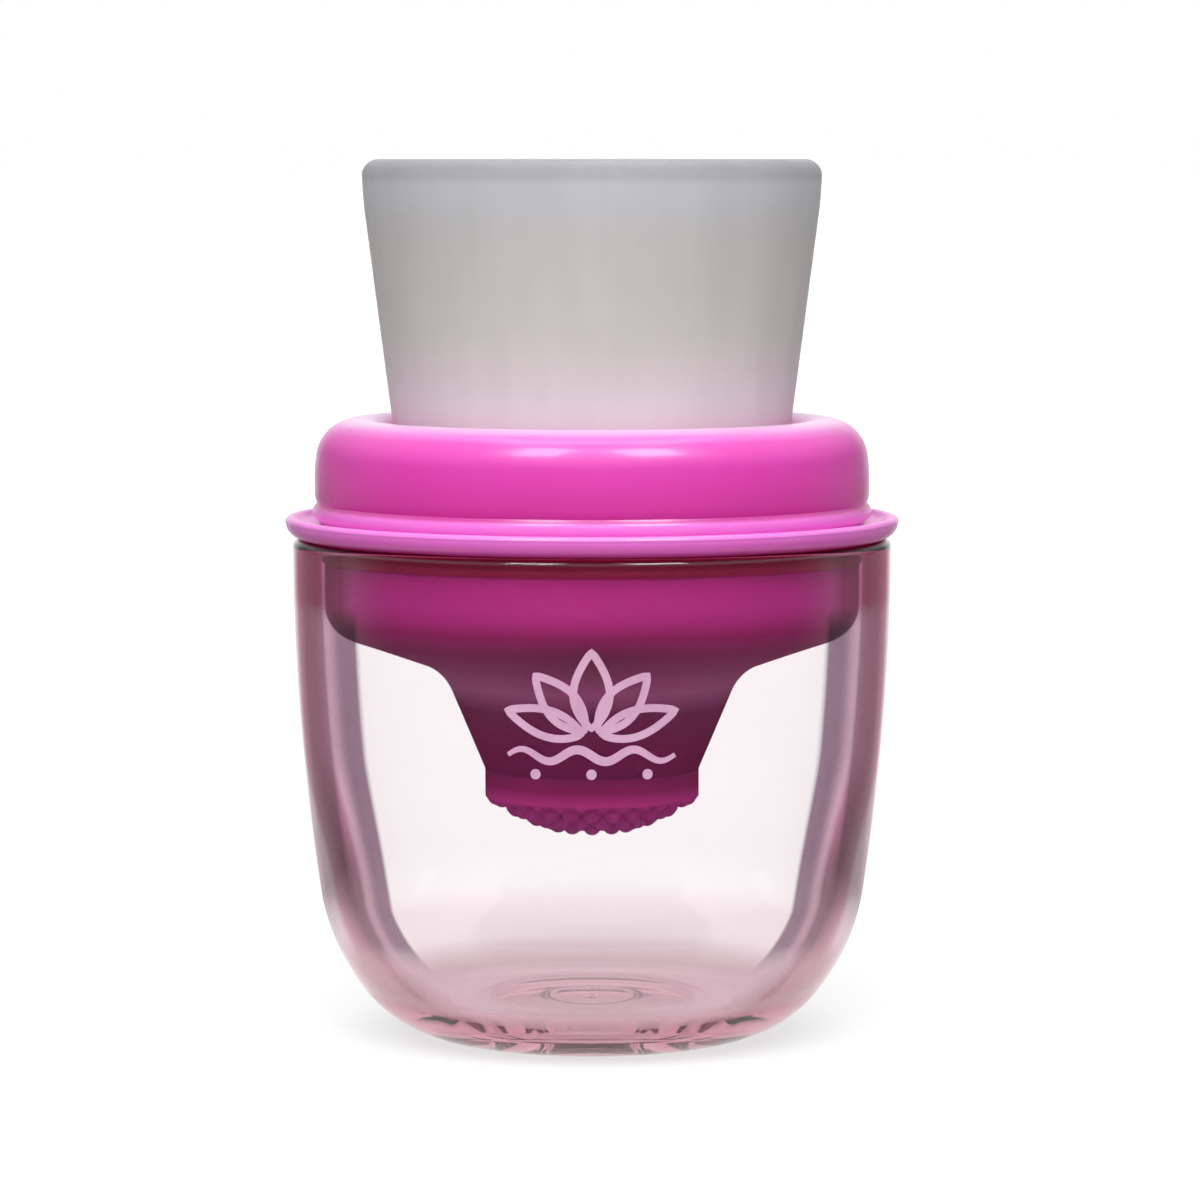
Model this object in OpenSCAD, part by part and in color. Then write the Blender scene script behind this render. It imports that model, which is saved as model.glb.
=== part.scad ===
// Silicone cupping cup: a squeeze bell in a collar, on a funnel-shaped stopper with a
// one-way valve, standing in a clear cup that is both its grip and its collecting cup.
// The origin is the centre of the clear cup's foot, with +Z up along the common axis.

/* [Clear cup] */
// Outer diameter of the clear cup at its rim
jar_d = 68.4; // [68:0.1:69]
// Height of the clear cup
jar_h = 57.2; // [54:0.1:60]
// Wall thickness of the clear cup
jar_wall = 3.2; // [3:0.05:3.3]
// Thickness of the clear cup's floor
jar_floor = 4.4; // [3.6:0.1:5]
// Radius of the slight bow of the clear cup's side
jar_bow_r = 265; // [240:1:300]
// Radius of the turn from the clear cup's side towards its base
jar_turn_r = 25.4; // [22:0.2:28]
// Radius of the tighter turn into the clear cup's foot
jar_foot_r = 14.6; // [13.6:0.1:15]

/* [Stopper] */
// Outer diameter of the stopper's flared flange
flange_d = 70; // [69.5:0.1:72]
// Wall thickness of the stopper's bowl
stopper_wall = 2.4; // [2:0.1:2.8]
// Slope of the bowl's underside from horizontal
shoulder_slope = 20; // [16:1:24]
// Slope of the funnel's throat from vertical
throat_slope = 23; // [21:1:26]

/* [Collar and bell] */
// Outer diameter of the collar
collar_d = 63.3; // [62.8:0.1:63.6]
// Height of the collar above the flange
collar_h = 12; // [11:0.05:13]
// Outer diameter of the bell's mouth
bell_d = 52.3; // [50:0.1:55]
// Wall thickness of the bell
bell_wall = 2.8; // [2.2:0.1:3.2]
// Height of the whole assembly
total_h = 100.3; // [96:0.1:106]

/* [Valve] */
// Outer diameter of the valve cap
cap_d = 24.5; // [24:0.1:25]
// Height of the valve cap's plain band
cap_band_h = 3.9; // [3:0.1:4.5]
// Depth of the dome that the nubs' tips lie on
cap_dome_h = 4.6; // [4.2:0.1:5]
// Diameter of one nub
nub_d = 2.1; // [1.6:0.05:2.15]

/* [Hidden] */
$fn = 96;

rest_gap = 0.1;                        // left between parts that rest on each other

magenta = "#E652B8";
clear_pink = "#F3C9D4";
frosted = "#CFCDD1";

// Clear cup
jar_r = jar_d / 2;
turn_angle = 37.3;                     // slope at which the tighter turn takes over
foot_angle = 83;                       // slope at which that turn meets the flat foot
bow_c = [jar_r - jar_bow_r, jar_h];    // centre of the side's bow, at the rim's height
turn_c_z = jar_foot_r * sin(foot_angle) + (jar_turn_r - jar_foot_r) * sin(turn_angle);
bow_angle = asin((jar_h - turn_c_z) / (jar_bow_r - jar_turn_r));
turn_c = bow_c + (jar_bow_r - jar_turn_r) * [cos(bow_angle), -sin(bow_angle)];
foot_c = turn_c + (jar_turn_r - jar_foot_r) * [cos(turn_angle), -sin(turn_angle)];
inner_bow_r = jar_bow_r - jar_wall;
inner_turn_r = jar_turn_r - jar_wall;
well_r = (turn_c_z - inner_turn_r * sin(turn_angle) - jar_floor)
         / (1 - sin(turn_angle));      // rounds the inner wall into the floor
well_c = turn_c + (inner_turn_r - well_r) * [cos(turn_angle), -sin(turn_angle)];
rim_r = 0.9;                           // rounds both edges of the rim
punt_r = 12;                           // recess under the foot
punt_h = 1.4;
gate_r = 0.8;                          // moulding gate left in the recess
gate_h = 0.7;
gate_ring_r = 5.4;                     // ring mark round the gate
gate_ring_w = 0.6;
gate_ring_z = 0.8;                     // where the ring mark starts; it runs into the recess's roof
gate_ring_h = 0.75;

// Stopper
seat_z = jar_h + rest_gap;
flange_r = flange_d / 2;
flange_t = 1.55;
flange_top_z = seat_z + flange_t;
lip_r = 2;                             // rounds the flange's underside up into its lip
lip_h = 2.45;
lip_top_z = seat_z + lip_h;
tip_r = 0.65;                          // rounds the lip's edge
gutter_r = 1.4;                        // rounds the lip's inner side into the flange's top
gutter_w = 2.5;                        // from the flange's edge to the middle of that round
skirt_r = jar_r - jar_wall - 0.45;     // clears the inside of the clear cup
bowl_r = 4.5;                          // rounds the skirt into the shoulder
bowl_z = seat_z - 7;
throat_r = 6;                          // rounds the shoulder into the throat
throat_x = 19.5;                       // where that round starts
upstand_r = 28.9;                      // spigot that stands inside the carrier ring
upstand_in_r = 26.7;
upstand_z = seat_z + 6.3;
seal_h = 2.3;                          // band of the seal, right under the flange
seal_nick = 0.25;                      // depth of the nick between the seal's two ridges
seal_nick_z = seat_z - 1.15;
seal_in_r = skirt_r - 1.2;
seal_out_r = jar_r - jar_wall - 0.08;  // just clear of the clear cup's bore

// Throat's lower end
cap_r = cap_d / 2;
cap_top_z = 31.6;
bore_r = 9.8;
bore_h = 4.7;
shelf_z = cap_top_z + bore_h;          // the valve seat is pushed up against this shelf
shelf_in_r = 8.6;

// Shoulder and throat outline, worked out from the slopes and rounds above
shoulder_a = [skirt_r - bowl_r + bowl_r * sin(shoulder_slope),
              bowl_z - bowl_r * cos(shoulder_slope)];
shoulder_b = [throat_x, shoulder_a[1] - (shoulder_a[0] - throat_x) * tan(shoulder_slope)];
throat_c = [shoulder_b[0] + throat_r * sin(shoulder_slope),
            shoulder_b[1] - throat_r * cos(shoulder_slope)];
throat_start = 90 + shoulder_slope;
throat_end = 180 - throat_slope;
throat_b = [throat_c[0] + throat_r * cos(throat_end), throat_c[1] + throat_r * sin(throat_end)];
inner_throat_r = throat_r + stopper_wall;
inner_throat_b = [throat_c[0] + inner_throat_r * cos(throat_end),
                  throat_c[1] + inner_throat_r * sin(throat_end)];

// Carrier ring and collar
collar_r = collar_d / 2;
carrier_out_r = 30.3;
carrier_in_r = upstand_r + 0.1;
carrier_foot = 0.85;                   // the ring stands this far above the flange
carrier_web = 1.4;
foot_h = 2.3;                          // height of the bell's foot above the upstand
web_z = upstand_z + foot_h;
crest_z = flange_top_z + collar_h;
crest_out_r = 4.7;                     // rounds the collar's top to its side
crest_in_r = 3.6;                      // rounds the collar's top to the bell

// Bell
bell_r = bell_d / 2;
bell_slope = 7.05;                     // taper of the bell's side from vertical
band_h = 4.6;                          // nearly straight band under the mouth
band_lean = 0.15;
mouth_out_r = 1.9;                     // rounds the mouth's outer edge
mouth_in_r = 0.9;                      // rounds the mouth's inner edge
taper_z = total_h - band_h;
foot_fillet = 1.2;

// Valve
seat_disc_t = 2;
port_r = 1.1;
port_ring_r = 4;
port_count = 6;
guide_r = 1.3;
stem_r = 1.2;
flap_r = 6.1;
flap_t = 0.9;
valve_travel = 1;
valve_gap = 0.05;                      // between the closed flap and its seat
flap_edge_t = 0.45;
flap_crown_r = 1.5;                    // flat middle of the flap's underside
flap_crown_h = 0.4;
bulb_r = 1.9;
bulb_h = 1.25;                         // from the stopped bulb's underside to its middle
spigot_h = 1.6;
spigot_fit = 0.05;                     // clearance of the spigot in the throat
spigot_in_r = 8.3;
spigot_lead = 0.4;                     // bevel round the spigot's tip
dome_z = cap_top_z - cap_band_h;
face_h = 2.4;                          // depth of the face between the nubs
face_wall = 1.5;
outlet_r = 0.6;                        // outlet holes take the place of the inmost ring of nubs
outlet_count = 6;
nub_r = nub_d / 2;
nub_ring_pitch = 2.22;
nub_rings = 5;

// Points on an arc about c, in the profile plane
function arc(c, r, from, to, steps = 10) =
    [for (i = [0:steps]) let (a = from + (to - from) * i / steps)
        [c[0] + r * cos(a), c[1] + r * sin(a)]];

// Outer radius of the bell at height z, on its taper
function bell_at(z) = bell_r - band_lean - (taper_z - z) * tan(bell_slope);

// Height at radius r of a shallow dome of the given depth under the valve cap's band
function dome_at(r, depth) = dome_z - depth * (1 - pow(r / cap_r, 2));

module turned(points) {
    rotate_extrude() polygon(points);
}

module clear_cup() {
    color(clear_pink, 0.4) {
        difference() {
            turned(concat(
                [[0, 0]],
                arc(foot_c, jar_foot_r, -foot_angle, -turn_angle - 2, 10),
                arc(turn_c, jar_turn_r, -turn_angle, -bow_angle - 1, 12),
                arc(bow_c, jar_bow_r, -bow_angle, -0.25, 14),
                arc([jar_r - rim_r, jar_h - rim_r], rim_r, 0, 90, 6),
                arc([jar_r - jar_wall + rim_r, jar_h - rim_r], rim_r, 90, 180, 6),
                arc(bow_c, inner_bow_r, -0.25, -bow_angle, 14),
                arc(turn_c, inner_turn_r, -bow_angle - 1, -turn_angle, 12),
                arc(well_c, well_r, -turn_angle - 2, -90, 14),
                [[0, jar_floor]]));
            punt();
        }
        translate([0, 0, punt_h - gate_h]) cylinder(r = gate_r, h = gate_h + 0.2);
    }
}

// Shallow domed recess under the foot, with a ring mark round the gate
module punt() {
    dome_r = (punt_r * punt_r + punt_h * punt_h) / (2 * punt_h);
    intersection() {
        translate([0, 0, punt_h - dome_r]) sphere(r = dome_r);
        translate([0, 0, -1]) cylinder(r = punt_r + 1, h = punt_h + 1.5);
    }
    translate([0, 0, gate_ring_z]) difference() {
        cylinder(r = gate_ring_r + gate_ring_w / 2, h = gate_ring_h);
        translate([0, 0, -1]) cylinder(r = gate_ring_r - gate_ring_w / 2, h = gate_ring_h + 2);
    }
}

module funnel_stopper() {
    color(magenta) turned(concat(
        // outside, from the throat's end up to the flange
        [[bore_r, cap_top_z], [cap_r, cap_top_z],
         [cap_r, throat_b[1] - (throat_b[0] - cap_r) / tan(throat_slope)]],
        arc(throat_c, throat_r, throat_end, throat_start, 10),
        arc([skirt_r - bowl_r, bowl_z], bowl_r, shoulder_slope - 90, 0, 10),
        [[skirt_r, seat_z - seal_h], [seal_in_r, seat_z - seal_h], [seal_in_r, seat_z]],
        arc([flange_r - lip_r, seat_z + lip_r], lip_r, -90, 0, 8),
        arc([flange_r - tip_r, lip_top_z - tip_r], tip_r, 0, 150, 8),
        arc([flange_r - gutter_w, flange_top_z + gutter_r], gutter_r, -35, -90, 5),
        [[upstand_r, flange_top_z], [upstand_r, upstand_z - 0.5],
         [upstand_r - 0.5, upstand_z], [upstand_in_r, upstand_z],
        // inside, from the upstand down to the bore
         [upstand_in_r, seat_z + 1], [skirt_r - stopper_wall, seat_z - 1]],
        arc([skirt_r - bowl_r, bowl_z], bowl_r - stopper_wall, 0, shoulder_slope - 90, 10),
        arc(throat_c, inner_throat_r, throat_start, throat_end, 10),
        [[inner_throat_b[0] - (inner_throat_b[1] - shelf_z - 1.4) * tan(throat_slope),
          shelf_z + 1.4],
         [shelf_in_r, shelf_z + 1], [shelf_in_r, shelf_z], [bore_r, shelf_z]]));
}

module stopper_seal() {
    color("#7A0E3E") turned([
        [seal_in_r, seat_z - seal_h], [seal_out_r - 0.4, seat_z - seal_h],
        [seal_out_r, seat_z - seal_h + 0.4], [seal_out_r, seal_nick_z - 0.35],
        [seal_out_r - seal_nick, seal_nick_z], [seal_out_r, seal_nick_z + 0.35],
        [seal_out_r, seat_z - 0.2], [seal_out_r - 0.2, seat_z], [seal_in_r, seat_z]]);
}

module carrier_ring() {
    carrier_z = flange_top_z + carrier_foot;
    web_r = bell_at(web_z) + foot_fillet + 0.4;
    color("white") turned([
        [carrier_in_r, carrier_z], [carrier_out_r, carrier_z],
        [carrier_out_r, web_z + carrier_web], [web_r, web_z + carrier_web],
        [web_r, web_z], [carrier_in_r, web_z]]);
}

module collar() {
    lip_z = web_z + carrier_web;
    crest_x = collar_r - crest_out_r - 0.15;
    color(magenta) turned(concat(
        [[carrier_out_r, flange_top_z + rest_gap], [collar_r - 0.75, flange_top_z + rest_gap]],
        arc([collar_r - 0.75, flange_top_z + 1.45], 1, -60, 50, 8),
        [[collar_r - 0.2, flange_top_z + 2.6], [collar_r, flange_top_z + 3.3],
         [collar_r, crest_z - crest_out_r - 1.6]],
        arc([crest_x, crest_z - crest_out_r], crest_out_r, 0, 90, 12),
        arc([bell_at(crest_z - crest_in_r) + crest_in_r + 0.1, crest_z - crest_in_r],
            crest_in_r, 90, 180, 12),
        [[bell_at(lip_z) + 0.05, lip_z], [carrier_out_r, lip_z]]));
}

module suction_bell() {
    sole_z = upstand_z + rest_gap;
    color(frosted) turned(concat(
        [[bell_at(sole_z) - bell_wall, sole_z], [carrier_in_r, sole_z], [carrier_in_r, web_z]],
        arc([bell_at(web_z) + foot_fillet, web_z + foot_fillet], foot_fillet, -90, -180, 6),
        [[bell_r - band_lean, taper_z]],
        arc([bell_r - mouth_out_r, total_h - mouth_out_r], mouth_out_r, 0, 90, 10),
        arc([bell_r - bell_wall + mouth_in_r, total_h - mouth_in_r], mouth_in_r, 90, 180, 6),
        [[bell_r - band_lean - bell_wall, taper_z]]));
}

module valve_seat() {
    color("white") difference() {
        translate([0, 0, shelf_z - seat_disc_t]) cylinder(r = bore_r, h = seat_disc_t);
        translate([0, 0, shelf_z - seat_disc_t - 1]) cylinder(r = guide_r, h = seat_disc_t + 2);
        for (i = [0:port_count - 1]) {
            rotate(i * 360 / port_count) translate([port_ring_r, 0, shelf_z - seat_disc_t - 1])
                cylinder(r = port_r, h = seat_disc_t + 2);
        }
    }
}

// Mushroom: a thin flap under the seat, and a bulb above it that keeps it from falling out
module check_valve() {
    under_z = shelf_z - seat_disc_t - valve_gap;
    crown_z = under_z - flap_t - flap_crown_h;
    bulb_z = shelf_z + valve_travel + bulb_h;
    color(frosted) turned(concat(
        [[0, crown_z], [flap_crown_r, crown_z], [flap_r, under_z - flap_edge_t],
         [flap_r, under_z], [stem_r, under_z], [stem_r, bulb_z - 1.2]],
        arc([0, bulb_z], bulb_r, -39, 90, 8)));
}

module valve_cap() {
    band_top_z = cap_top_z - rest_gap;
    floor_z = dome_at(0, face_h) + face_wall;
    color(magenta) difference() {
        union() {
            turned(concat(
                [[0, floor_z], [spigot_in_r - 1, floor_z], [spigot_in_r, floor_z + 1.2],
                 [spigot_in_r, band_top_z + spigot_h],
                 [bore_r - spigot_fit - spigot_lead, band_top_z + spigot_h],
                 [bore_r - spigot_fit, band_top_z + spigot_h - spigot_lead],
                 [bore_r - spigot_fit, band_top_z],
                 [cap_r - 0.3, band_top_z], [cap_r, band_top_z - 0.3], [cap_r, dome_z]],
                [for (i = [11:-1:0]) [cap_r * i / 12, dome_at(cap_r * i / 12, face_h)]]));
            nub();
            for (k = [2:nub_rings], i = [0:6 * k - 1]) {
                rotate(i * 60 / k) translate([k * nub_ring_pitch, 0, 0]) nub(k * nub_ring_pitch);
            }
        }
        for (i = [0:outlet_count - 1]) {
            rotate(i * 360 / outlet_count) translate([nub_ring_pitch, 0, dome_z - face_h - 1])
                cylinder(r = outlet_r, h = face_wall + 2);
        }
    }
}

// Round-ended nub at distance r from the axis, with its tip on the dome
module nub(r = 0) {
    tip_z = dome_at(r, cap_dome_h);
    translate([0, 0, tip_z + nub_r]) {
        cylinder(r = nub_r, h = dome_z + 1 - tip_z - nub_r);
        sphere(r = nub_r);
    }
}

clear_cup();
funnel_stopper();
stopper_seal();
carrier_ring();
collar();
suction_bell();
valve_seat();
check_valve();
valve_cap();
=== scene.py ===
"""Looks of the squeeze-type cupping cup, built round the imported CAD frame."""

import math

import bpy
import numpy as np
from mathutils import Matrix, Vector


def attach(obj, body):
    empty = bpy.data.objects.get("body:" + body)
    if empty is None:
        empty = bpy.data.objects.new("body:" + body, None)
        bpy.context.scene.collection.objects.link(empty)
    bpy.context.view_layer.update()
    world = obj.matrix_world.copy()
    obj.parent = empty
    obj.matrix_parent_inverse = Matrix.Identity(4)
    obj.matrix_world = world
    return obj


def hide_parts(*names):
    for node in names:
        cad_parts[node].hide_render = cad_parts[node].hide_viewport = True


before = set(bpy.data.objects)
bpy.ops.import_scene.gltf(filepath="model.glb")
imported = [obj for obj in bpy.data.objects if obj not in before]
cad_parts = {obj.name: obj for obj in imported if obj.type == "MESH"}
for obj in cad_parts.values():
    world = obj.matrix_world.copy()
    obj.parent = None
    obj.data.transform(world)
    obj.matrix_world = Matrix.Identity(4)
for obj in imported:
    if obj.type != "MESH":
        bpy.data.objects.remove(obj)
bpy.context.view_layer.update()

MM = 0.001
TURNS = 256                      # segments round the axis of every turned piece


# ---------------------------------------------------------------- turned shapes
# Profiles are lists of (radius, height) in millimetres, with the CAD part's numbers.

def arc(cx, cz, r, start, end, steps):
    out = []
    for i in range(steps + 1):
        a = math.radians(start + (end - start) * i / steps)
        out.append((cx + r * math.cos(a), cz + r * math.sin(a)))
    return out


def rounded(points, radius, closed=True, steps=4):
    """Fillets the corners of a profile. radius is one number or a dict from corner to radius."""
    out = []
    n = len(points)
    for i, p in enumerate(points):
        r = radius.get(i, 0) if isinstance(radius, dict) else radius
        if r <= 0 or (not closed and i in (0, n - 1)):
            out.append(p)
            continue
        p = Vector(p)
        a, b = Vector(points[i - 1]) - p, Vector(points[(i + 1) % n]) - p
        if a.length < 1e-6 or b.length < 1e-6:
            out.append(tuple(p))
            continue
        half = a.angle(b) / 2
        if half > math.radians(86):
            out.append(tuple(p))
            continue
        cut = min(r / math.tan(half), a.length * 0.45, b.length * 0.45)
        s, e = p + a.normalized() * cut, p + b.normalized() * cut
        for k in range(steps + 1):
            t = k / steps
            out.append(tuple((1 - t) ** 2 * s + 2 * t * (1 - t) * p + t * t * e))
    return out


def subdivided(points, step, closed=True):
    """Adds points on long straight stretches, so shading has rings to rest on."""
    out = []
    n = len(points)
    for i in range(n if closed else n - 1):
        a, b = Vector(points[i]), Vector(points[(i + 1) % n])
        count = max(1, math.ceil((b - a).length / step))
        out += [tuple(a.lerp(b, k / count)) for k in range(count)]
    if not closed:
        out.append(points[-1])
    return out


def new_object(name, verts, faces, material, sharp=40):
    mesh = bpy.data.meshes.new(name)
    mesh.from_pydata([Vector(v) * MM for v in verts], [], faces)
    mesh.validate()
    mesh.shade_smooth()
    mesh.set_sharp_from_angle(angle=math.radians(sharp))
    mesh.materials.append(material)
    obj = bpy.data.objects.new(name, mesh)
    bpy.context.scene.collection.objects.link(obj)
    return obj


def turned_mesh(points, closed, turns=TURNS, first=0):
    """Vertices and faces of a profile turned about Z. An open profile starts and ends on the axis."""
    verts, faces, rings = [], [], []
    for r, z in points:
        if r < 1e-6:
            rings.append([first + len(verts)] * turns)
            verts.append((0, 0, z))
        else:
            rings.append(list(range(first + len(verts), first + len(verts) + turns)))
            for k in range(turns):
                a = 2 * math.pi * k / turns
                verts.append((r * math.cos(a), r * math.sin(a), z))
    pairs = list(zip(rings, rings[1:])) + ([(rings[-1], rings[0])] if closed else [])
    for low, high in pairs:
        for k in range(turns):
            j = (k + 1) % turns
            face = [low[k], low[j], high[j], high[k]]
            face = [v for i, v in enumerate(face) if v != face[i - 1]]
            if len(face) > 2:
                faces.append(face)
    return verts, faces


def turned(name, points, material, closed=True, sharp=40, turns=TURNS):
    verts, faces = turned_mesh(points, closed, turns)
    return new_object(name, verts, faces, material, sharp)


# ---------------------------------------------------------------- dimensions
JAR_R, JAR_H, JAR_WALL, JAR_FLOOR = 34.2, 57.2, 3.2, 4.4
BOW_R, TURN_R, FOOT_R = 265.0, 25.4, 14.6
TURN_ANGLE, FOOT_ANGLE = 37.3, 83.0
PUNT_R, PUNT_H = 12.0, 1.4
GATE_R, GATE_H, GATE_RING_R = 0.9, 0.7, 5.4
RIM_R = 0.9
GAP = 0.1

SEAT_Z = JAR_H + GAP
FLANGE_R, FLANGE_TOP = 35.0, SEAT_Z + 1.55
LIP_R, TIP_R, LIP_TOP = 2.0, 0.65, SEAT_Z + 2.45
SKIRT_R, BOWL_R, BOWL_Z = JAR_R - JAR_WALL - 0.45, 4.5, SEAT_Z - 7
STOPPER_WALL, SHOULDER, THROAT = 2.4, 20.0, 23.0
THROAT_R, THROAT_X = 6.0, 19.5
UPSTAND_R, UPSTAND_IN_R, UPSTAND_Z = 28.9, 26.7, SEAT_Z + 6.3
SEAL_Z, SEAL_IN_R, SEAL_R = SEAT_Z - 2.3, SKIRT_R - 1.2, JAR_R - JAR_WALL - 0.08
CAP_R, CAP_TOP, BORE_R = 12.25, 31.6, 9.8
SHELF_Z, SHELF_IN_R = CAP_TOP + 4.7, 8.6

COLLAR_R, CREST_Z = 31.65, FLANGE_TOP + 12.0
CARRIER_R = 30.3
WEB_Z = UPSTAND_Z + 2.3
LEDGE_Z = WEB_Z + 1.4
CREST_OUT, CREST_IN = 4.7, 3.6

BELL_R, BELL_WALL, TOTAL_H = 26.15, 2.8, 100.3
BELL_SLOPE, BAND_LEAN = math.radians(7.05), 0.15
TAPER_Z = TOTAL_H - 4.6
SOLE_Z = UPSTAND_Z + GAP

DOME_Z = CAP_TOP - 3.9
FACE_H, TIPS_H, FACE_WALL = 2.4, 4.6, 1.5
SPIGOT_IN_R, SPIGOT_H = 8.3, 1.6
NUB_R, NUB_PITCH, NUB_RINGS = 1.05, 2.22, 5
OUTLET_R, OUTLETS = 0.6, 6


def bell_at(z):
    return BELL_R - BAND_LEAN - (TAPER_Z - z) * math.tan(BELL_SLOPE)


def jar_radius(z):
    """Outer radius of the clear cup's bowed side at height z."""
    return JAR_R - BOW_R + math.sqrt(BOW_R ** 2 - (JAR_H - z) ** 2)


def dome_at(r, depth):
    """Height at radius r of a shallow dome of the given depth under the cap's band."""
    return DOME_Z - depth * (1 - (r / CAP_R) ** 2)


# ---------------------------------------------------------------- materials
def material(name):
    mat = bpy.data.materials.new(name)
    mat.use_nodes = True
    nt = mat.node_tree
    return mat, nt, nt.nodes["Principled BSDF"]


def maths(nt, operation, a, b):
    n = nt.nodes.new("ShaderNodeMath")
    n.operation = operation
    for socket, value in zip(n.inputs, (a, b)):
        if isinstance(value, (int, float)):
            socket.default_value = value
        else:
            nt.links.new(value, socket)
    return n.outputs["Value"]


def ranged(nt, source, low, high, to_low=0.0, to_high=1.0):
    n = nt.nodes.new("ShaderNodeMapRange")
    values = {"From Min": low, "From Max": high, "To Min": to_low, "To Max": to_high}
    for key, value in values.items():
        n.inputs[key].default_value = value
    nt.links.new(source, n.inputs["Value"])
    return n.outputs["Result"]


def noise(nt, scale, detail=3.0, stretch=(1, 1, 1)):
    """Cloudy pattern in the object's own space, centred on 0.5."""
    coords = nt.nodes.new("ShaderNodeTexCoord")
    mapping = nt.nodes.new("ShaderNodeMapping")
    mapping.inputs["Scale"].default_value = stretch
    n = nt.nodes.new("ShaderNodeTexNoise")
    n.inputs["Scale"].default_value = scale
    n.inputs["Detail"].default_value = detail
    nt.links.new(coords.outputs["Object"], mapping.inputs["Vector"])
    nt.links.new(mapping.outputs["Vector"], n.inputs["Vector"])
    return n.outputs["Fac"]


def ramp(nt, source, stops):
    n = nt.nodes.new("ShaderNodeValToRGB")
    els = n.color_ramp.elements
    while len(els) < len(stops):
        els.new(0.5)
    for el, (pos, colour) in zip(els, stops):
        el.position = pos
        el.color = (*colour, 1)
    nt.links.new(source, n.inputs["Fac"])
    return n.outputs["Color"]


def mixed(nt, blend, factor, a, b):
    """Mix of two colours, given as sockets or as plain numbers."""
    n = nt.nodes.new("ShaderNodeMix")
    n.data_type = "RGBA"
    n.blend_type = blend
    sockets = [s for s in n.inputs if s.enabled]
    for socket, value in zip(sockets, (factor, a, b)):
        if isinstance(value, bpy.types.NodeSocket):
            nt.links.new(value, socket)
        else:
            socket.default_value = value if isinstance(value, (int, float)) else (*value, 1)
    return next(s for s in n.outputs if s.enabled)


def cloudy(nt, colour, scale, depth, stretch=(1, 1, 1)):
    """The colour with soft clouds or streaks, up to depth darker."""
    low = (1 - depth,) * 3
    clouds = ramp(nt, noise(nt, scale, 4, stretch), [(0.32, low), (0.68, (1, 1, 1))])
    return mixed(nt, "MULTIPLY", 1, colour, clouds)


def finish(nt, bsdf, colour, roughness, grain=4000, depth_mm=0.004):
    """Colour, uneven roughness and a fine grain for a moulded surface."""
    nt.links.new(colour, bsdf.inputs["Base Color"])
    nt.links.new(ranged(nt, noise(nt, 500, 2), 0.3, 0.7, *roughness), bsdf.inputs["Roughness"])
    n = nt.nodes.new("ShaderNodeBump")
    n.inputs["Strength"].default_value = 0.6
    n.inputs["Distance"].default_value = depth_mm * MM
    nt.links.new(noise(nt, grain, 2), n.inputs["Height"])
    nt.links.new(n.outputs["Normal"], bsdf.inputs["Normal"])


def height_mm(nt):
    """The height above the foot, in millimetres, as a socket."""
    coords = nt.nodes.new("ShaderNodeTexCoord")
    split = nt.nodes.new("ShaderNodeSeparateXYZ")
    nt.links.new(coords.outputs["Object"], split.inputs["Vector"])
    return maths(nt, "MULTIPLY", split.outputs["Z"], 1 / MM)


SILICONE_ROUGHNESS = (0.285, 0.33)


def silicone(name, stops, low, high, gloss=0.5, coat=0.2):
    """Coloured silicone whose colour runs from height low to height high, with painted light and shade
    in the run.
    """
    mat, nt, b = material(name)
    tone = ramp(nt, ranged(nt, height_mm(nt), low, high), stops)
    finish(nt, b, cloudy(nt, tone, 120, 0.03), SILICONE_ROUGHNESS, 900, 0.002)
    b.inputs["Subsurface Weight"].default_value = 0.3
    b.inputs["Subsurface Radius"].default_value = (1.0, 0.2, 0.6)
    b.inputs["Subsurface Scale"].default_value = 0.004
    b.inputs["Specular IOR Level"].default_value = gloss
    b.inputs["Coat Weight"].default_value = coat
    b.inputs["Coat Roughness"].default_value = 0.1
    return mat


def frosted_silicone():
    mat, nt, b = material("frosted_silicone")
    # Painted light and shade on the bell: pink at the foot stands in for light bounced from the collar,
    # greys above, and a dark band at the top rim as painted shade
    tone = ramp(nt, ranged(nt, height_mm(nt), CREST_Z - 5, TOTAL_H),
                [(0.0, (0.78, 0.69, 0.74)), (0.2, (0.70, 0.65, 0.66)), (0.45, (0.62, 0.59, 0.57)),
                 (0.7, (0.58, 0.57, 0.55)), (0.92, (0.56, 0.56, 0.59)), (0.97, (0.34, 0.34, 0.36))])
    streaks = cloudy(nt, tone, 260, 0.05, (1, 1, 0.04))
    finish(nt, b, cloudy(nt, streaks, 70, 0.04), (0.42, 0.55), 2600, 0.01)
    b.inputs["Specular IOR Level"].default_value = 0.15
    b.inputs["Subsurface Weight"].default_value = 0.4
    b.inputs["Subsurface Radius"].default_value = (1.0, 0.9, 0.85)
    b.inputs["Subsurface Scale"].default_value = 0.003
    return mat


def attribute(nt, name):
    n = nt.nodes.new("ShaderNodeAttribute")
    n.attribute_name = name
    return n.outputs["Fac"]


def side_painted_shade(nt):
    """Colour of the clear cup's outer face, from how far it is turned away: painted shade, dark bands
    that stand in for the dark studio refracted in the wall, with the skirt's and the foot's painted
    bands mixed in.
    """
    edge = nt.nodes.new("ShaderNodeLayerWeight")
    edge.inputs["Blend"].default_value = 0.5
    facing, low = edge.outputs["Facing"], attribute(nt, "low_painted_shade")
    spread = maths(nt, "MULTIPLY", maths(nt, "SUBTRACT", facing, SPREAD_FROM),
                   maths(nt, "MULTIPLY", low, SPREAD))
    turned_away = maths(nt, "ADD", facing, spread)
    side = mixed(nt, "MIX", low, ramp(nt, turned_away, WALL_PAINTED_SHADE), ramp(nt, turned_away, LOW_PAINTED_SHADE))
    side = mixed(nt, "MIX", attribute(nt, "skirt_painted_reflection"), side, ramp(nt, facing, SKIRT_PAINTED_REFLECTION))
    return mixed(nt, "MIX", attribute(nt, "foot_painted_shade"), side, ramp(nt, facing, FOOT_PAINTED_SHADE))


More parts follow.
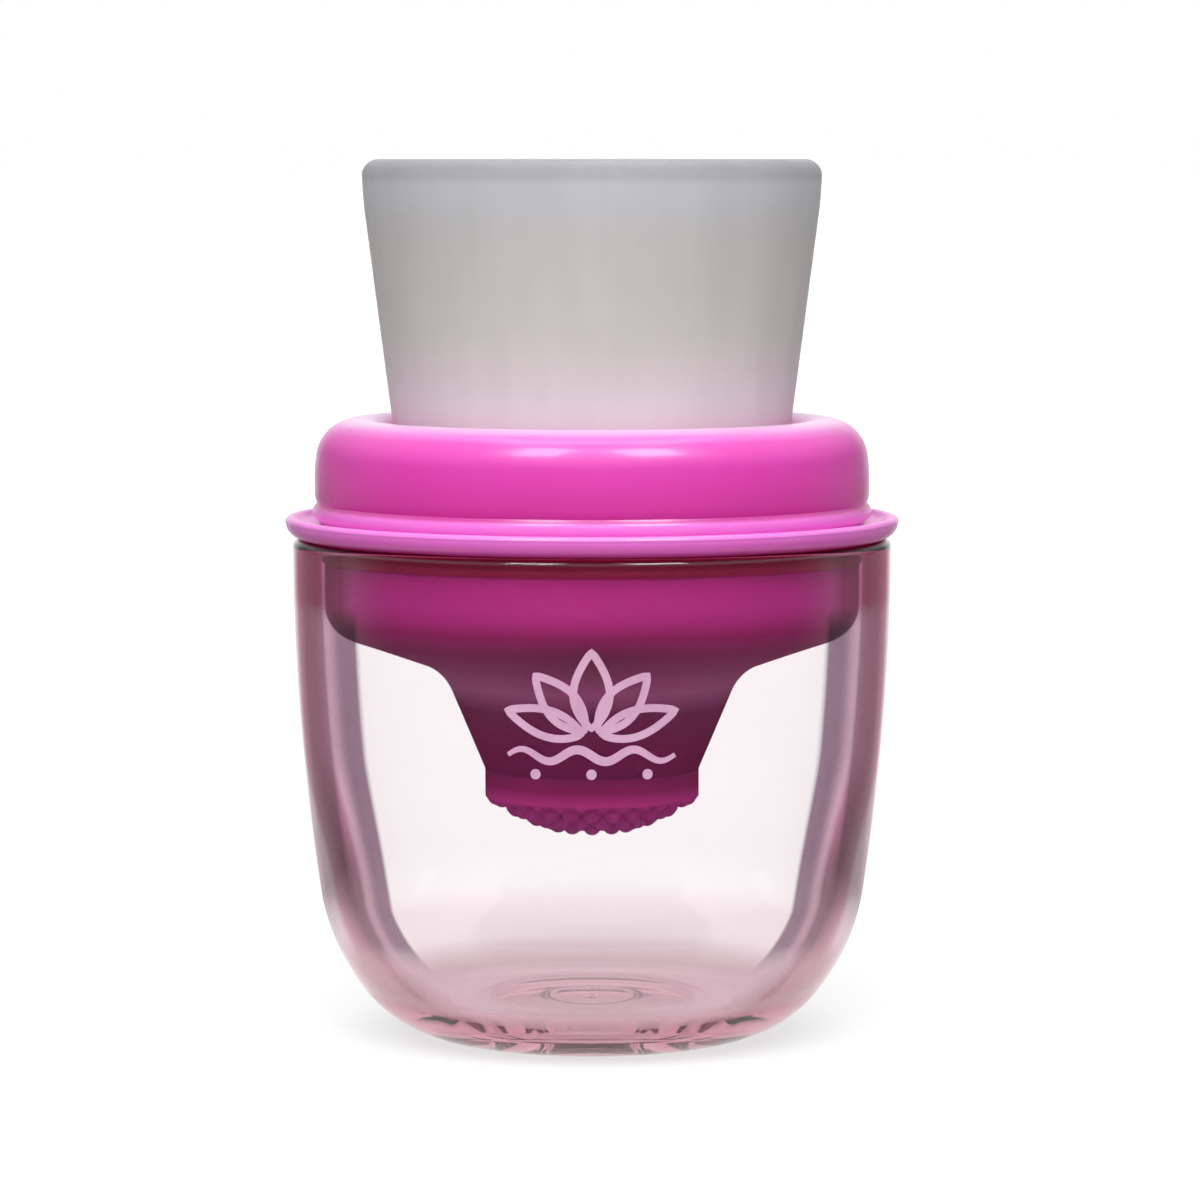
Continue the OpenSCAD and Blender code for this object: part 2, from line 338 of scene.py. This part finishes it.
def clear_plastic():
    """Tinted clear plastic, with the tints, painted shade and painted reflections that are stored on the
    cup's mesh as masks.
    """
    mat, nt, b = material("clear_plastic")
    base = mixed(nt, "MIX", attribute(nt, "base_pink_and_shade"), PLAIN_TINT, BASE_PINK_AND_SHADE)
    wall = mixed(nt, "MIX", attribute(nt, "wall_painted_shade"), base, side_painted_shade(nt))
    tint = mixed(nt, "MIX", attribute(nt, "rim_painted_reflection"), wall, RIM_PAINTED_REFLECTION)
    nt.links.new(tint, b.inputs["Base Color"])
    nt.links.new(ranged(nt, noise(nt, 60, 2), 0.3, 0.7, 0.0, 0.03), b.inputs["Roughness"])
    b.inputs["IOR"].default_value = 1.5
    b.inputs["Transmission Weight"].default_value = 1.0
    take = nt.nodes.new("ShaderNodeVolumeAbsorption")
    take.inputs["Color"].default_value = (0.93, 0.55, 0.66, 1)
    take.inputs["Density"].default_value = 20
    nt.links.new(take.outputs["Volume"], nt.nodes["Material Output"].inputs["Volume"])
    return mat


def plain_moulded(name, dark, light, roughness):
    mat, nt, b = material(name)
    finish(nt, b, ramp(nt, noise(nt, 300), [(0.3, dark), (0.7, light)]), roughness, 2500, 0.006)
    return mat


# What the cup's side lets through, from seen face on to seen edge on: clear face on, then dark bands of
# painted shade that stand in for the dark studio refracted in the wall
WALL_PAINTED_SHADE = [(0.0, (1, 1, 1)), (0.382, (1, 0.99, 0.99)), (0.405, (0.1, 0.045, 0.085)),
             (0.47, (0.09, 0.035, 0.072)), (0.5, (0.13, 0.055, 0.095)), (0.53, (0.28, 0.12, 0.2)),
             (0.565, (0.5, 0.22, 0.35)), (0.59, (0.5, 0.12, 0.25)), (0.62, (0.36, 0.06, 0.15)),
             (0.68, (0.26, 0.03, 0.08)), (0.76, (0.17, 0.016, 0.05)), (0.84, (0.23, 0.04, 0.08)),
             (0.92, (0.26, 0.06, 0.11)), (1.0, (0.5, 0.3, 0.4))]
# The same painted shade lower down, where more light comes through the wall
LOW_PAINTED_SHADE = [(0.0, (1, 1, 1)), (0.382, (1, 0.98, 0.98)), (0.405, (0.12, 0.055, 0.09)),
            (0.47, (0.1, 0.045, 0.08)), (0.5, (0.14, 0.06, 0.1)), (0.54, (0.3, 0.13, 0.19)),
            (0.57, (0.27, 0.12, 0.17)), (0.61, (0.07, 0.02, 0.035)), (0.7, (0.05, 0.012, 0.022)),
            (0.78, (0.12, 0.02, 0.04)), (0.9, (0.24, 0.05, 0.09)), (1.0, (0.5, 0.3, 0.4))]
# Painted reflection where the stopper's skirt lies against the wall: the wall is filled with the skirt's
# plum colour, standing in for the skirt mirrored inside the wall
SKIRT_PAINTED_REFLECTION = [(0.0, (1, 1, 1)), (0.40, (1, 1, 1)), (0.46, (0.5, 0.12, 0.3)), (0.53, (0.3, 0.03, 0.12)),
              (0.6, (0.2, 0.002, 0.025)), (0.85, (0.1, 0.001, 0.01)), (1.0, (0.3, 0.06, 0.12))]
# The same painted shade where the side turns into the base: pink face on, dark bands towards the edge
# that stand in for the shaded floor and studio seen through the heel
FOOT_PAINTED_SHADE = [(0.0, (0.9, 0.76, 0.81)), (0.4, (0.84, 0.68, 0.75)), (0.52, (0.28, 0.1, 0.14)),
             (0.75, (0.28, 0.1, 0.13)), (0.9, (0.38, 0.17, 0.2)), (1.0, (0.55, 0.33, 0.38))]
# The plastic's own faint pink, and the thick base's deeper pink darkened as painted shade
PLAIN_TINT, BASE_PINK_AND_SHADE = (0.99, 0.97, 0.975), (0.6, 0.32, 0.39)
# Painted reflection: the rounded rim is tinted deep crimson, standing in for the seal and the shade
# under the flange seen in it
RIM_PAINTED_REFLECTION = (0.3, 0.006, 0.04)      # the seal's colour in the rounded rim
SPREAD_FROM, SPREAD = 0.31, 0.65   # low down, the bands of the side lie further in and closer

BRIGHT = (0.75, 0.055, 0.43)
# A light pink-violet that stands in for the sheen on the flange lip and the collar's foot bead: painted
# sheen
FLANGE_PAINTED_SHEEN = (0.87, 0.2, 0.7)
# Painted light and shade on the collar, foot to crest: the foot bead lighter as painted light on its
# down-facing side, a dark band as painted shade in the groove above it, the lower side darker as painted
# shade, and the crest lighter as a painted highlight from overhead
MAGENTA = silicone("magenta_silicone",
                   [(0, (0.93, 0.34, 0.8)), (0.15, FLANGE_PAINTED_SHEEN), (0.185, (0.6, 0.035, 0.33)),
                    (0.3, (0.66, 0.045, 0.36)), (0.55, BRIGHT), (0.88, (0.77, 0.07, 0.48)),
                    (0.94, (0.82, 0.18, 0.62)), (1, (0.92, 0.55, 0.84))], FLANGE_TOP, CREST_Z)
# Painted light and shade on the stopper's flange: darker underneath as painted shade, lighter towards
# the lip top as painted sheen
FLANGE = silicone("flange_silicone",
                  [(0, (0.7, 0.06, 0.42)), (0.3, (0.8, 0.11, 0.56)), (0.7, FLANGE_PAINTED_SHEEN)],
                  SEAT_Z, LIP_TOP)
# Painted light and shade on the plug inside the cup: dark round the throat and in bands up the shoulder,
# lighter on the upper skirt, standing in for the little light that reaches it under the flange
PLUG = silicone("plug_silicone",
                [(0.05, (0.32, 0.022, 0.14)), (0.26, (0.34, 0.05, 0.17)), (0.36, (0.7, 0.2, 0.45)),
                 (0.65, (0.55, 0.036, 0.23)), (0.77, (0.74, 0.052, 0.41)), (0.9, (0.76, 0.05, 0.39))],
                CAP_TOP, SEAT_Z, gloss=0, coat=0)
# Painted light and shade on the valve cap: lighter at the nub tips as painted light from below, darker
# up towards the plug as painted shade
CAP = silicone("cap_silicone", [(0, (0.9, 0.14, 0.55)), (0.55, (0.82, 0.07, 0.42)),
                                (0.75, (0.42, 0.03, 0.18)), (1, (0.34, 0.03, 0.16))],
               DOME_Z - TIPS_H, CAP_TOP, gloss=0, coat=0)
# A real seal band, widened and coloured deep crimson so that it also stands in for the shade under the
# flange: partly painted shade
SEAL_AND_SHADE = plain_moulded("seal_rubber", (0.62, 0.001, 0.13), (0.68, 0.002, 0.15), (0.5, 0.6))
WHITE = plain_moulded("white_plastic", (0.74, 0.74, 0.73), (0.80, 0.80, 0.79), (0.35, 0.5))
INK = plain_moulded("print_ink", (0.62, 0.34, 0.50), (0.72, 0.42, 0.60), (0.45, 0.6))
FROSTED, CLEAR = frosted_silicone(), clear_plastic()


# ---------------------------------------------------------------- clear cup
def punt_at(r):
    """Height of the recess under the foot, with its ring mark and gate."""
    dome_r = (PUNT_R ** 2 + PUNT_H ** 2) / (2 * PUNT_H)
    z = PUNT_H - dome_r + math.sqrt(dome_r ** 2 - r ** 2)
    z += 0.45 * math.exp(-((r - GATE_RING_R) / 0.35) ** 2)
    return z - GATE_H * max(0.0, 1 - (r / GATE_R) ** 4)


def jar_turn():
    """Centre (r, z) of the turn below the side's bow, and the slope where the bow meets it."""
    z = (FOOT_R * math.sin(math.radians(FOOT_ANGLE))
         + (TURN_R - FOOT_R) * math.sin(math.radians(TURN_ANGLE)))
    bow = math.asin((JAR_H - z) / (BOW_R - TURN_R))
    return JAR_R - BOW_R + (BOW_R - TURN_R) * math.cos(bow), z, math.degrees(bow)


def jar_outline():
    bow_x = JAR_R - BOW_R
    turn_x, turn_z, bow = jar_turn()
    cos, sin = math.cos(math.radians(TURN_ANGLE)), math.sin(math.radians(TURN_ANGLE))
    foot_x, foot_z = turn_x + (TURN_R - FOOT_R) * cos, turn_z - (TURN_R - FOOT_R) * sin
    inner = TURN_R - JAR_WALL
    well_r = (turn_z - inner * sin - JAR_FLOOR) / (1 - sin)
    well_x, well_z = turn_x + (inner - well_r) * cos, turn_z - (inner - well_r) * sin
    return ([(PUNT_R * k / 80, punt_at(PUNT_R * k / 80)) for k in range(81)]
            + [(PUNT_R + 0.5, 0.04), (PUNT_R + 1, 0)]
            + arc(foot_x, foot_z, FOOT_R, -FOOT_ANGLE, -TURN_ANGLE, 26)
            + arc(turn_x, turn_z, TURN_R, -TURN_ANGLE, -bow, 24)[1:]
            + arc(bow_x, JAR_H, BOW_R, -bow, -0.25, 30)[1:]
            + arc(JAR_R - RIM_R, JAR_H - RIM_R, RIM_R, 0, 90, 8)
            + arc(JAR_R - JAR_WALL + RIM_R, JAR_H - RIM_R, RIM_R, 90, 180, 8)
            + arc(bow_x, JAR_H, BOW_R - JAR_WALL, -0.25, -bow, 30)
            + arc(turn_x, turn_z, inner, -bow, -TURN_ANGLE, 24)[1:]
            + arc(well_x, well_z, well_r, -TURN_ANGLE, -90, 26)[1:]
            + [(r, JAR_FLOOR) for r in (15, 12.5, 11.5, 7, 3, 0)])


def eased(value, low, high):
    """0 below low, 1 above high and a smooth rise between."""
    t = min(1.0, max(0.0, (value - low) / (high - low)))
    return t * t * (3 - 2 * t)


def on_outside(r, z):
    """True for a point of the cup nearer its outer face than its inner one."""
    turn_x, turn_z = jar_turn()[:2]
    if z > turn_z:
        return r > jar_radius(z) - JAR_WALL / 2
    return z < JAR_FLOOR / 2 or math.hypot(r - turn_x, z - turn_z) > TURN_R - JAR_WALL / 2


# Heights, and for the recess the radii, over which each tint and painted shade of the cup comes or goes
WALL_FADE, LOW_FADE, FOOT_FADE, BASE_FADE = (2, 8), (18, 36), (10, 13.5), (8, 13)
HEEL_FADE, RECESS_FADE = (5.0, 6.4), (11, 13)
SKIRT_FADE, RIM_FADE = (BOWL_Z - 1.5, BOWL_Z + 0.5), (JAR_H - 0.9, JAR_H - 0.2)


def base_pink_and_shade(r, z, outside):
    """How strongly the base is painted deeper pink and darker here, the plastic's pink with painted
    shade: most at the heel outside, and over the recess inside.
    """
    if outside:
        strength = 1 - 0.55 * eased(z, *HEEL_FADE)
    else:
        strength = 0.05 + 0.65 * (1 - eased(r, *RECESS_FADE))
    return strength * (1 - eased(z, *BASE_FADE))


def tint_and_shade_masks_at(r, z):
    """Strength of each tint, painted shade and painted reflection of the clear cup at radius r and
    height z.
    """
    outside = on_outside(r, z)
    return {"wall_painted_shade": eased(z, *WALL_FADE) if outside else 0.0,
            "low_painted_shade": 1 - eased(z, *LOW_FADE),
            "foot_painted_shade": 1 - eased(z, *FOOT_FADE),
            "base_pink_and_shade": base_pink_and_shade(r, z, outside),
            "skirt_painted_reflection": eased(z, *SKIRT_FADE),
            "rim_painted_reflection": eased(z, *RIM_FADE)}


def add_tint_and_shade_masks(obj):
    """Stores the tints, painted shade and painted reflections on the cup's mesh, where clear_plastic
    reads them.
    """
    attributes = obj.data.attributes
    for v in obj.data.vertices:
        x, y, z = v.co / MM
        for name, value in tint_and_shade_masks_at(math.hypot(x, y), z).items():
            tint = attributes.get(name) or attributes.new(name, "FLOAT", "POINT")
            tint.data[v.index].value = value


cup = turned("cup_shell", jar_outline(), CLEAR, closed=False, sharp=60, turns=360)
add_tint_and_shade_masks(cup)
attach(cup, "cup")
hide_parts("clear_cup")


# ---------------------------------------------------------------- printed motif
def ribbon(path, width, closed=False, taper=0.0):
    """A flat strip along a path on the unrolled cup side: (verts, faces) with (u, z) points."""
    n = len(path)
    left, right = [], []
    for i, p in enumerate(path):
        a = path[i - 1] if (i > 0 or closed) else path[0]
        b = path[(i + 1) % n] if (i < n - 1 or closed) else path[-1]
        d = Vector((b[0] - a[0], b[1] - a[1])).normalized()
        t = 0 if closed else abs(2 * i / (n - 1) - 1) ** 2 * taper
        w = width / 2 * (1 - t)
        left.append((p[0] - d.y * w, p[1] + d.x * w))
        right.append((p[0] + d.y * w, p[1] - d.x * w))
    verts = left + right
    faces = []
    for i in range(n if closed else n - 1):
        j = (i + 1) % n
        faces.append([i, j, n + j, n + i])
    return verts, faces


def disc(u, z, r, steps=20):
    verts = [(u + r * math.cos(2 * math.pi * k / steps), z + r * math.sin(2 * math.pi * k / steps))
             for k in range(steps)]
    return verts, [list(range(steps))]


def petal(u0, z0, lean, length, width, steps=26):
    """Closed outline of a pointed leaf that starts at (u0, z0)."""
    out = []
    for k in range(2 * steps):
        side = 1 if k < steps else -1
        t = k / steps if k < steps else 2 - k / steps
        along = t * length
        off = side * width / 2 * math.sin(math.pi * t ** 0.85) ** 0.9
        a = math.radians(lean)
        out.append((u0 + along * math.sin(a) + off * math.cos(a),
                    z0 + along * math.cos(a) - off * math.sin(a)))
    return out


def printed_motif():
    """A plain spray of leaves over a wavy line: decoration only, with no lettering."""
    base, stroke = 38.0, 0.85
    leaves = ((0, 8.3, 4.0), (-42, 8.0, 3.5), (42, 8.0, 3.5), (-73, 8.6, 2.9), (73, 8.6, 2.9))
    parts = []
    for lean, length, width in leaves:
        a = math.radians(lean)
        outline = petal(1.2 * math.sin(a), base + 0.9 * math.cos(a), lean, length, width)
        parts.append(ribbon(outline, stroke, closed=True))
    wave = [(-9.4 + 18.8 * k / 80, 35.9 + 0.65 * math.sin(6 * math.pi * k / 80)) for k in range(81)]
    parts.append(ribbon(wave, 1.0, taper=0.5))
    parts += [disc(u, 33.8, 0.58) for u in (-6.3, 0.0, 6.3)]
    verts, faces = [], []
    for flat, polys in parts:
        start, n = len(verts), len(flat)
        for lift in (0.01, 0.04):
            for u, z in flat:
                r = jar_radius(z) + lift
                a = u / JAR_R - math.pi / 2
                verts.append((r * math.cos(a), r * math.sin(a), z))
        for f in polys:
            faces.append([start + n + v for v in f][::-1])
            faces.append([start + v for v in f])
    return new_object("cup_print", verts, faces, INK, 60)


motif = printed_motif()
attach(motif, "cup")


# ---------------------------------------------------------------- stopper
def stopper_outline():
    s, t = math.radians(SHOULDER), math.radians(180 - THROAT)
    ax = SKIRT_R - BOWL_R + BOWL_R * math.sin(s)
    az = BOWL_Z - BOWL_R * math.cos(s)
    bz = az - (ax - THROAT_X) * math.tan(s)
    cx, cz = THROAT_X + THROAT_R * math.sin(s), bz - THROAT_R * math.cos(s)
    ex, ez = cx + THROAT_R * math.cos(t), cz + THROAT_R * math.sin(t)
    ir = THROAT_R + STOPPER_WALL
    ix, iz = cx + ir * math.cos(t), cz + ir * math.sin(t)
    slope = math.tan(math.radians(THROAT))
    line = ([(BORE_R, CAP_TOP), (CAP_R - 0.25, CAP_TOP), (CAP_R, CAP_TOP + 0.25),
             (CAP_R, ez - (ex - CAP_R) / slope)]
            + arc(cx, cz, THROAT_R, 180 - THROAT, 90 + SHOULDER, 20)
            + arc(SKIRT_R - BOWL_R, BOWL_Z, BOWL_R, SHOULDER - 90, 0, 20)
            + [(SKIRT_R, SEAL_Z - 0.2), (SKIRT_R - 0.2, SEAL_Z),
               (SEAL_IN_R, SEAL_Z), (SEAL_IN_R, SEAT_Z)]
            + arc(FLANGE_R - LIP_R, SEAT_Z + LIP_R, LIP_R, -90, 0, 16)
            + arc(FLANGE_R - TIP_R, LIP_TOP - TIP_R, TIP_R, 0, 150, 14)
            + arc(FLANGE_R - 2.5, FLANGE_TOP + 1.4, 1.4, -35, -90, 12)
            + [(UPSTAND_R + 0.3, FLANGE_TOP), (UPSTAND_R, FLANGE_TOP + 0.3),
               (UPSTAND_R, UPSTAND_Z - 0.5), (UPSTAND_R - 0.5, UPSTAND_Z),
               (UPSTAND_IN_R + 0.4, UPSTAND_Z), (UPSTAND_IN_R, UPSTAND_Z - 0.4),
               (UPSTAND_IN_R, SEAT_Z + 1), (SKIRT_R - STOPPER_WALL, SEAT_Z - 1)]
            + arc(SKIRT_R - BOWL_R, BOWL_Z, BOWL_R - STOPPER_WALL, 0, SHOULDER - 90, 16)
            + arc(cx, cz, ir, 90 + SHOULDER, 180 - THROAT, 20)
            + [(ix - (iz - SHELF_Z - 1.4) * slope, SHELF_Z + 1.4), (SHELF_IN_R, SHELF_Z + 1),
               (SHELF_IN_R, SHELF_Z), (BORE_R, SHELF_Z)])
    return subdivided(line, 1.6)


stopper = turned("stopper_body", stopper_outline(), FLANGE)
stopper.data.materials.append(PLUG)
for face in stopper.data.polygons:
    face.material_index = 1 if face.center.z < (SEAT_Z - 0.01) * MM else 0
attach(stopper, "head")
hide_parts("funnel_stopper")


def seal_outline():
    ridges = [(SEAL_R - 0.4, SEAL_Z), (SEAL_R, SEAL_Z + 0.4), (SEAL_R, SEAT_Z - 1.5),
              (SEAL_R - 0.25, SEAT_Z - 1.15), (SEAL_R, SEAT_Z - 0.8), (SEAL_R, SEAT_Z - 0.2),
              (SEAL_R - 0.2, SEAT_Z), (SEAL_IN_R, SEAT_Z), (SEAL_IN_R, SEAL_Z)]
    return rounded(ridges, 0.12)


seal = turned("seal_band", seal_outline(), SEAL_AND_SHADE, sharp=50)
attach(seal, "head")
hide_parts("stopper_seal")


# ---------------------------------------------------------------- collar and bell
def collar_outline():
    base = FLANGE_TOP + GAP
    crest_x = COLLAR_R - CREST_OUT - 0.15
    throat = bell_at(CREST_Z - CREST_IN) + 0.1
    line = ([(CARRIER_R, base), (COLLAR_R - 0.75, base)]
            + arc(COLLAR_R - 0.75, FLANGE_TOP + 1.45, 1, -60, 50, 14)
            + [(COLLAR_R - 0.28, FLANGE_TOP + 2.5), (COLLAR_R - 0.1, FLANGE_TOP + 2.9),
               (COLLAR_R, FLANGE_TOP + 3.4), (COLLAR_R, CREST_Z - CREST_OUT - 1.6),
               (COLLAR_R - 0.05, CREST_Z - CREST_OUT - 0.6)]
            + arc(crest_x, CREST_Z - CREST_OUT, CREST_OUT, 4, 90, 28)
            + arc(throat + CREST_IN, CREST_Z - CREST_IN, CREST_IN, 90, 180, 24)
            + [(bell_at(LEDGE_Z) + 0.05, LEDGE_Z), (CARRIER_R, LEDGE_Z)])
    return subdivided(line, 1.6)


collar = turned("collar_skin", collar_outline(), MAGENTA)
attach(collar, "bell_unit")
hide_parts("collar")


def bell_outline():
    web_x = bell_at(WEB_Z)
    line = ([(bell_at(SOLE_Z) - BELL_WALL, SOLE_Z), (UPSTAND_R + 0.1, SOLE_Z), (UPSTAND_R + 0.1, WEB_Z)]
            + arc(web_x + 1.2, WEB_Z + 1.2, 1.2, -90, -180, 10)
            + [(BELL_R - BAND_LEAN - 0.12, TAPER_Z - 1.0), (BELL_R - BAND_LEAN + 0.01, TAPER_Z + 0.4)]
            + arc(BELL_R - 1.9, TOTAL_H - 1.9, 1.9, 0, 90, 22)
            + arc(BELL_R - BELL_WALL + 0.9, TOTAL_H - 0.9, 0.9, 90, 180, 14)
            + [(BELL_R - BAND_LEAN - BELL_WALL, TAPER_Z)])
    return subdivided(line, 1.6)


bell = turned("bell_body", bell_outline(), FROSTED, sharp=50)
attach(bell, "bell_unit")
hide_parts("suction_bell")


# ---------------------------------------------------------------- valve cap
def cap_outline():
    top = CAP_TOP - GAP
    floor = dome_at(0, FACE_H) + FACE_WALL
    spigot_top, spigot_r = top + SPIGOT_H, BORE_R - 0.05
    inside = [(0, floor), (6, floor), (SPIGOT_IN_R - 1, floor), (SPIGOT_IN_R, floor + 1.2),
              (SPIGOT_IN_R, spigot_top), (spigot_r - 0.3, spigot_top),
              (spigot_r, spigot_top - 0.4), (spigot_r, top), (CAP_R - 0.3, top), (CAP_R, top - 0.3)]
    band = subdivided(inside + [(CAP_R, DOME_Z + 0.2), (CAP_R - 0.04, DOME_Z + 0.06)], 1.2, closed=False)
    return band + [(CAP_R * k / 100, dome_at(CAP_R * k / 100, FACE_H)) for k in range(99, -1, -1)]


def nub_centres():
    centres = [(0.0, 0.0)]
    for ring in range(2, NUB_RINGS + 1):
        for i in range(6 * ring):
            a = 2 * math.pi * i / (6 * ring)
            centres.append((ring * NUB_PITCH * math.cos(a), ring * NUB_PITCH * math.sin(a)))
    return centres


def with_nubs(verts):
    """Raises round-ended nubs, blended into the face, on the cap's underside."""
    xyz = np.array(verts)
    r = np.hypot(xyz[:, 0], xyz[:, 1])
    face = dome_at(r, FACE_H)
    under = (xyz[:, 2] < face + 0.01) & (r < CAP_R - 0.1)
    low = face.copy()
    for cx, cy in nub_centres():
        tip = dome_at(math.hypot(cx, cy), TIPS_H)
        d = np.hypot(xyz[:, 0] - cx, xyz[:, 1] - cy) / NUB_R
        ball = tip + NUB_R * (1 - np.sqrt(np.clip(1 - d ** 2, 0.06, 1)))
        t = np.clip((d - 0.9) / 0.2, 0, 1)
        side = ball + (face - ball) * t * t * (3 - 2 * t)
        low = np.where(d < 1.1, np.minimum(low, side), low)
    xyz[:, 2] = np.where(under, low, xyz[:, 2])
    return [tuple(map(float, p)) for p in xyz]


def drill_outlets(obj):
    """Cuts the outlet holes round the middle nub."""
    verts, faces = [], []
    for i in range(OUTLETS):
        a = 2 * math.pi * i / OUTLETS
        rod = [(0, DOME_Z - 9), (OUTLET_R, DOME_Z - 9), (OUTLET_R, DOME_Z + 2), (0, DOME_Z + 2)]
        v, f = turned_mesh(rod, closed=False, turns=32, first=len(verts))
        verts += [(x + NUB_PITCH * math.cos(a), y + NUB_PITCH * math.sin(a), z) for x, y, z in v]
        faces += f
    drill = new_object("drill", verts, faces, CAP)
    cut = obj.modifiers.new("outlets", "BOOLEAN")
    cut.object = drill
    cut.operation = "DIFFERENCE"
    cut.solver = "EXACT"
    depsgraph = bpy.context.evaluated_depsgraph_get()
    mesh = bpy.data.meshes.new_from_object(obj.evaluated_get(depsgraph))
    obj.modifiers.clear()
    obj.data = mesh
    bpy.data.objects.remove(drill)


cap_verts, cap_faces = turned_mesh(cap_outline(), closed=False, turns=400)
cap = new_object("cap_body", with_nubs(cap_verts), cap_faces, CAP, 60)
drill_outlets(cap)
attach(cap, "cap")
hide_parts("valve_cap")

for name, look in (("carrier_ring", WHITE), ("valve_seat", WHITE), ("check_valve", FROSTED)):
    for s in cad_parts[name].material_slots:
        s.material = look


# ---------------------------------------------------------------- stage, light, camera
AMBIENT = 0.21                   # brightness of the studio as light
GLOW = 0.7                       # brightness of the floor's own light
NEAR_FOOT = (0.05, 0.1)          # distances over which the floor's mirror image dims, in metres

scene = bpy.context.scene
scene.view_settings.view_transform = "Standard"
scene.cycles.max_bounces = 24              # the thick clear base guides light from wall to wall
scene.cycles.glossy_bounces = 24
scene.cycles.transmission_bounces = 24


def light_path(nt):
    """Two sockets. The first is 1 if nothing matt lies on the way here.

    The second is 1 if, as well, the way has no mirror in it, or more than one.
    """
    path = nt.nodes.new("ShaderNodeLightPath")
    unscattered = maths(nt, "LESS_THAN", path.outputs["Diffuse Depth"], 0.5)
    off_one = maths(nt, "ABSOLUTE", maths(nt, "SUBTRACT", path.outputs["Glossy Depth"], 1), 0)
    return unscattered, maths(nt, "MULTIPLY", unscattered, maths(nt, "GREATER_THAN", off_one, 0.5))


# How bright the studio is in a mirror, from in front of the object to right behind it
MIRRORED = [(0.0, (0.01, 0.01, 0.01)), (0.45, (0.01, 0.01, 0.01)), (0.65, (0.22, 0.22, 0.22)),
            (0.94, (0.22, 0.22, 0.22)), (0.985, (1, 1, 1))]


def studio_world():
    """White to look at, dimmer as light; in reflections dark but for above and right behind."""
    world = bpy.data.worlds.new("studio")
    world.use_nodes = True
    nt = world.node_tree
    coords = nt.nodes.new("ShaderNodeTexCoord")
    split = nt.nodes.new("ShaderNodeSeparateXYZ")
    nt.links.new(coords.outputs["Generated"], split.inputs["Vector"])
    above = ranged(nt, split.outputs["Z"], 0.15, 0.6)
    around = ramp(nt, ranged(nt, split.outputs["Y"], -1, 1), MIRRORED)
    unscattered, direct = light_path(nt)
    mirrored = mixed(nt, "MIX", above, around, (1, 1, 1))
    light = mixed(nt, "MIX", unscattered, (AMBIENT,) * 3, mirrored)
    seen = mixed(nt, "MIX", direct, light, (1, 1, 1))
    nt.links.new(seen, nt.nodes["Background"].inputs["Color"])
    return world


def floor_white():
    """Pale floor that glows a little to the eye. Its mirror image is as bright as the studio there."""
    mat, nt, b = material("floor_white")
    unscattered, direct = light_path(nt)
    coords = nt.nodes.new("ShaderNodeTexCoord")
    split = nt.nodes.new("ShaderNodeSeparateXYZ")
    unit = nt.nodes.new("ShaderNodeVectorMath")
    unit.operation = "NORMALIZE"
    away = nt.nodes.new("ShaderNodeVectorMath")
    away.operation = "LENGTH"
    nt.links.new(coords.outputs["Object"], unit.inputs[0])
    nt.links.new(coords.outputs["Object"], away.inputs[0])
    nt.links.new(unit.outputs["Vector"], split.inputs["Vector"])
    around = ramp(nt, ranged(nt, split.outputs["Y"], -1, 1), MIRRORED)
    mirrored = mixed(nt, "MIX", ranged(nt, away.outputs["Value"], *NEAR_FOOT), (1, 1, 1), around)
    brightness = mixed(nt, "MIX", direct, mirrored, (1, 1, 1))
    tone = ramp(nt, noise(nt, 6, 2), [(0.3, (0.33, 0.33, 0.33)), (0.7, (0.34, 0.34, 0.34))])
    nt.links.new(mixed(nt, "MULTIPLY", unscattered, tone, brightness), b.inputs["Base Color"])
    nt.links.new(brightness, b.inputs["Emission Color"])
    nt.links.new(maths(nt, "MULTIPLY", unscattered, GLOW), b.inputs["Emission Strength"])
    b.inputs["Roughness"].default_value = 0.7
    b.inputs["Specular IOR Level"].default_value = 0.2
    return mat


scene.world = studio_world()
floor = turned("floor", [(0, -0.02), (400, -0.02), (2000, -0.02), (30000, -0.02)], floor_white(),
               closed=False, turns=96)


def direction(azimuth, elevation):
    """Unit vector towards a light: azimuth from the front, positive to the right."""
    a, e = math.radians(azimuth), math.radians(elevation)
    return Vector((math.sin(a) * math.cos(e), -math.cos(a) * math.cos(e), math.sin(e)))


def aimed(obj, target):
    obj.rotation_euler = (target - obj.location).to_track_quat("-Z", "Y").to_euler()


def sun(name, azimuth, elevation, strength, angle):
    data = bpy.data.lights.new(name, "SUN")
    data.energy = strength
    data.angle = math.radians(angle)
    obj = bpy.data.objects.new(name, data)
    obj.location = direction(azimuth, elevation) * 2
    aimed(obj, Vector((0, 0, 0)))
    obj.visible_glossy = False
    scene.collection.objects.link(obj)


def softbox(name, azimuth, elevation, width, height, power):
    data = bpy.data.lights.new(name, "AREA")
    data.shape = "RECTANGLE"
    data.size, data.size_y = width, height
    data.energy = power
    obj = bpy.data.objects.new(name, data)
    obj.location = Vector((0, 0, 0.06)) + direction(azimuth, elevation) * 1.6
    aimed(obj, Vector((0, 0, 0.06)))
    obj.visible_diffuse = False
    obj.visible_transmission = False
    scene.collection.objects.link(obj)


sun("key", -4, 45, 2.9, 50)
sun("fill", 12, 75, 1.0, 80)
softbox("softbox_top", 180, 76, 1.1, 1.0, 16)
softbox("softbox_left", -31, 58, 0.44, 0.7, 11)
softbox("softbox_right", 34, 57, 0.5, 0.6, 13)

CAMERA_AT, CAMERA_TO = Vector((0.00092, -0.594, 0.1005)), Vector((0.00092, 0, 0.05))
camera_data = bpy.data.cameras.new("camera")
camera_data.lens = 156.2
camera_data.sensor_width = 36
camera_data.clip_start = 0.01
camera_data.clip_end = 100
camera = bpy.data.objects.new("camera", camera_data)
camera.location = CAMERA_AT
aimed(camera, CAMERA_TO)
scene.collection.objects.link(camera)
scene.camera = camera
